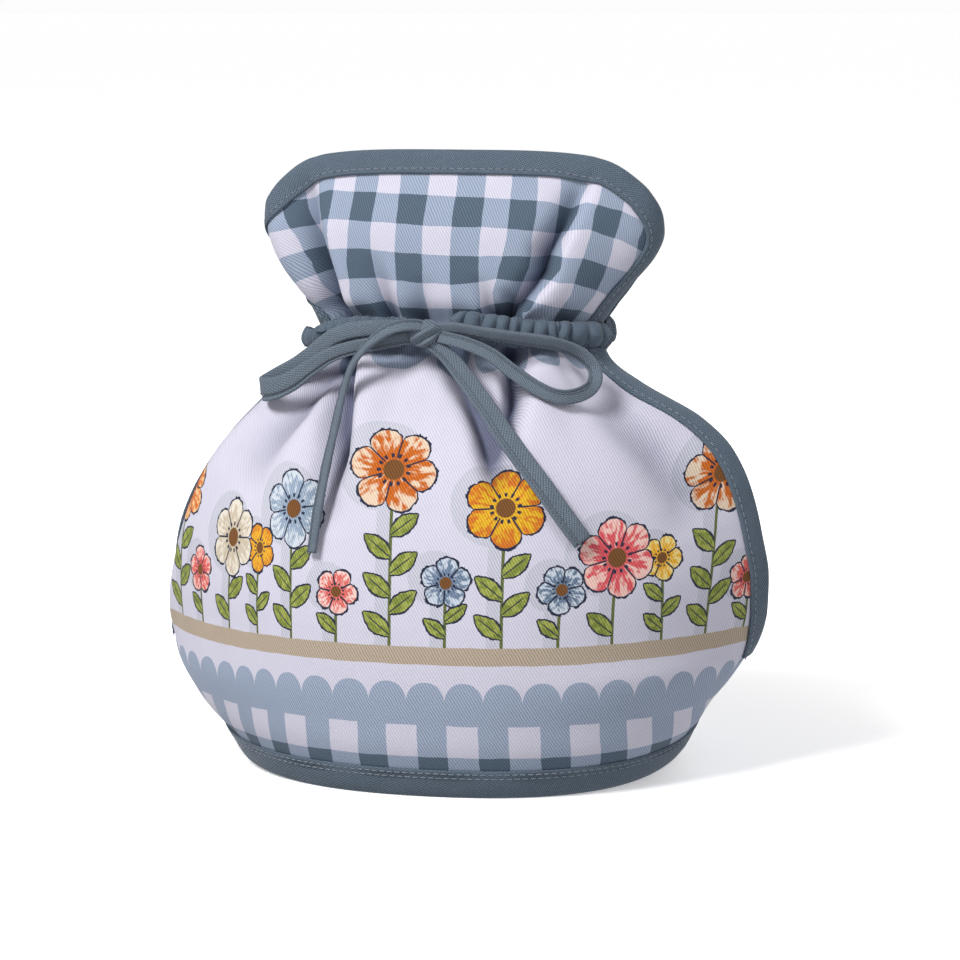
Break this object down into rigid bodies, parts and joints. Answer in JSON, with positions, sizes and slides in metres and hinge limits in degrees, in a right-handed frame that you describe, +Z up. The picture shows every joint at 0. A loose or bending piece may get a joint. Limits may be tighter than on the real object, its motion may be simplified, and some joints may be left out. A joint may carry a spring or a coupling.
{
  "type": "tea cosy",
  "caption": "Muff-style printed cotton tea cosy, open at the top and sides, bound edges, gathered at the waist with a tied bow.",
  "frame": {"origin": "on the table at the middle of the cosy's hem, halfway between its sides and between front and back", "axes": "+Z up; -Y to the front, where the bow is; +X to the right as the bow is looked at"},
  "size_m": [0.1961, 0.1322, 0.1947],
  "materials": {
    "printed_cotton": "matt cotton twill, printed",
    "plain_cotton": "matt cotton twill, slate grey-blue"
  },
  "bodies": {
    "root": {"front_panel": "printed_cotton", "back_panel": "printed_cotton", "front_binding": "plain_cotton", "back_binding": "plain_cotton", "hem_binding": "plain_cotton", "front_casing_left": "plain_cotton", "front_casing_right": "plain_cotton", "back_casing": "plain_cotton", "tie": "plain_cotton"}
  },
  "joints": []
}
